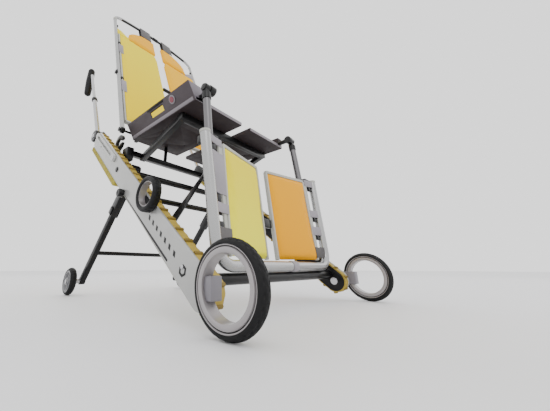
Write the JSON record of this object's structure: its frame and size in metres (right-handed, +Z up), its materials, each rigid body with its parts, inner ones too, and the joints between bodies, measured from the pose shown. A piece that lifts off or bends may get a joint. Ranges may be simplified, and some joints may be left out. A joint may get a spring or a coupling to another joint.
{
  "type": "stair chair",
  "caption": "Tracked stair chair with hubless front wheels, folding rear struts, telescopic staff handles and a lift-off scoop of seat, backrest and leg rest.",
  "frame": {"origin": "on the ground, under the middle of the whole object's bounding box", "axes": "+X to the seated patient's left, -Y forward where the patient faces, +Z up"},
  "size_m": [0.6168, 1.0811, 1.3922],
  "materials": {
    "cover_silver": "satin",
    "track_rubber": "matte",
    "bumper_rubber": "matte",
    "black_rubber": "matte",
    "tyre_rubber": "matte",
    "frame_black": "satin",
    "knob_plastic": "matte",
    "bright_metal": "polished",
    "beam_alloy": "satin",
    "hub_alloy": "satin",
    "rear_rim_grey": "satin",
    "pulley_plastic": "matte",
    "hand_bar": "satin",
    "seat_shell": "matte",
    "side_box_grey": "matte",
    "button_red": "gloss",
    "tube_silver": "satin",
    "fabric_yellow": "coated",
    "fabric_orange": "coated"
  },
  "bodies": {
    "chassis": {"arm_cover_right": "cover_silver", "arm_cover_left": "cover_silver", "track_right": "track_rubber", "track_left": "track_rubber", "ring_grip_right": "black_rubber", "ring_grip_left": "black_rubber", "inner_plates": "frame_black", "arm_beams": "beam_alloy", "bumpers": "bumper_rubber", "hub_rings": "hub_alloy", "wheel_brackets": "hub_alloy", "pulley_axles": "bright_metal", "cross_bars": "frame_black", "front_bar": "frame_black", "brace": "frame_black", "cradle_frame": "frame_black", "cradle_rear_bar": "frame_black", "dock_hooks": "frame_black", "arm_knobs": "knob_plastic", "staff_sleeves": "bright_metal", "staff_collars": "knob_plastic", "cover_screws": "bright_metal"},
    "front_wheel_right": {"front_rim_right": "hub_alloy", "front_tyre_right": "tyre_rubber"},
    "front_wheel_left": {"front_rim_left": "hub_alloy", "front_tyre_left": "tyre_rubber"},
    "nose_pulley_right": {"nose_pulley_right": "pulley_plastic"},
    "top_pulley_right": {"top_pulley_right": "pulley_plastic"},
    "nose_pulley_left": {"nose_pulley_left": "pulley_plastic"},
    "top_pulley_left": {"top_pulley_left": "pulley_plastic"},
    "strut_frame": {"upper_struts": "frame_black"},
    "lower_leg_frame": {"lower_legs": "frame_black", "leg_bar": "frame_black", "rear_axles": "bright_metal"},
    "rear_wheel_right": {"rear_rim_right": "rear_rim_grey", "rear_tyre_right": "tyre_rubber"},
    "rear_wheel_left": {"rear_rim_left": "rear_rim_grey", "rear_tyre_left": "tyre_rubber"},
    "staff_handle_right": {"staff_tube_right": "bright_metal", "staff_grip_right": "black_rubber"},
    "staff_handle_left": {"staff_tube_left": "bright_metal", "staff_grip_left": "black_rubber"},
    "patient_bar_right": {"patient_bar_right": "hand_bar"},
    "patient_bar_left": {"patient_bar_left": "hand_bar"},
    "scoop": {"seat_right": "seat_shell", "seat_left": "seat_shell", "side_box": "side_box_grey", "leg_stubs": "frame_black", "back_lugs": "frame_black"},
    "push_button": {"push_button": "button_red"},
    "backrest": {"back_tube_right": "tube_silver", "back_tube_left": "tube_silver", "back_panel_right": "fabric_yellow", "back_panel_left": "fabric_orange", "head_pads": "fabric_orange"},
    "leg_rest": {"leg_frame_right": "tube_silver", "leg_frame_left": "tube_silver", "leg_panel_right": "fabric_yellow", "leg_panel_left": "fabric_orange"}
  },
  "joints": [
    {"name": "front_wheel_right_spin", "type": "hinge", "parent": "chassis", "child": "front_wheel_right", "pos_m": [-0.297, -0.476, 0.065], "axis": [1, 0, 0], "continuous": true},
    {"name": "front_wheel_left_spin", "type": "hinge", "parent": "chassis", "child": "front_wheel_left", "pos_m": [0.297, -0.476, 0.065], "axis": [1, 0, 0], "continuous": true},
    {"name": "nose_pulley_right_spin", "type": "hinge", "parent": "chassis", "child": "nose_pulley_right", "pos_m": [-0.2637, -0.3975, 0.0524], "axis": [1, 0, 0], "continuous": true},
    {"name": "top_pulley_right_spin", "type": "hinge", "parent": "chassis", "child": "top_pulley_right", "pos_m": [-0.2637, 0.19313, 0.53068], "axis": [1, 0, 0], "continuous": true},
    {"name": "nose_pulley_left_spin", "type": "hinge", "parent": "chassis", "child": "nose_pulley_left", "pos_m": [0.2637, -0.3975, 0.0524], "axis": [1, 0, 0], "continuous": true},
    {"name": "top_pulley_left_spin", "type": "hinge", "parent": "chassis", "child": "top_pulley_left", "pos_m": [0.2637, 0.19313, 0.53068], "axis": [1, 0, 0], "continuous": true},
    {"name": "strut_fold", "type": "hinge", "parent": "chassis", "child": "strut_frame", "pos_m": [0, 0.02216, 0.39223], "axis": [-1, 0, 0], "range_deg": [0, 80]},
    {"name": "leg_extend", "type": "slide", "parent": "strut_frame", "child": "lower_leg_frame", "axis": [0, 0.6521, -0.7581], "range_m": [0, 0.05]},
    {"name": "rear_wheel_right_spin", "type": "hinge", "parent": "lower_leg_frame", "child": "rear_wheel_right", "pos_m": [-0.2465, 0.32102, 0.04478], "axis": [1, 0, 0], "continuous": true},
    {"name": "rear_wheel_left_spin", "type": "hinge", "parent": "lower_leg_frame", "child": "rear_wheel_left", "pos_m": [0.2465, 0.32102, 0.04478], "axis": [1, 0, 0], "continuous": true},
    {"name": "staff_handle_right_slide", "type": "slide", "parent": "chassis", "child": "staff_handle_right", "axis": [0, 0.4924, 0.8704], "range_m": [-0.095, 0]},
    {"name": "staff_handle_left_slide", "type": "slide", "parent": "chassis", "child": "staff_handle_left", "axis": [0, 0.4924, 0.8704], "range_m": [-0.095, 0]},
    {"name": "patient_bar_right_swing", "type": "hinge", "parent": "chassis", "child": "patient_bar_right", "pos_m": [-0.2843, 0.01146, 0.40544], "axis": [1, 0, 0], "range_deg": [0, 75]},
    {"name": "patient_bar_left_swing", "type": "hinge", "parent": "chassis", "child": "patient_bar_left", "pos_m": [0.2843, 0.01146, 0.40544], "axis": [1, 0, 0], "range_deg": [0, 75]},
    {"name": "scoop_lift", "type": "slide", "parent": "chassis", "child": "scoop", "axis": [0, 0, 1], "range_m": [0, 0.25]},
    {"name": "button_push", "type": "slide", "parent": "scoop", "child": "push_button", "axis": [0.8638, 0, 0.5039], "range_m": [0, 0.003], "stiffness_N_per_m": 600},
    {"name": "back_fold", "type": "hinge", "parent": "scoop", "child": "backrest", "pos_m": [0, 0.058, 0.535], "axis": [1, 0, 0], "range_deg": [0, 60]},
    {"name": "leg_raise", "type": "hinge", "parent": "scoop", "child": "leg_rest", "pos_m": [0, -0.326, 0.522], "axis": [-1, 0, 0], "range_deg": [0, 78]}
  ],
  "couplings": [
    {"joint": "top_pulley_right_spin", "follows": "nose_pulley_right_spin", "ratio": 1},
    {"joint": "top_pulley_left_spin", "follows": "nose_pulley_left_spin", "ratio": 1}
  ]
}
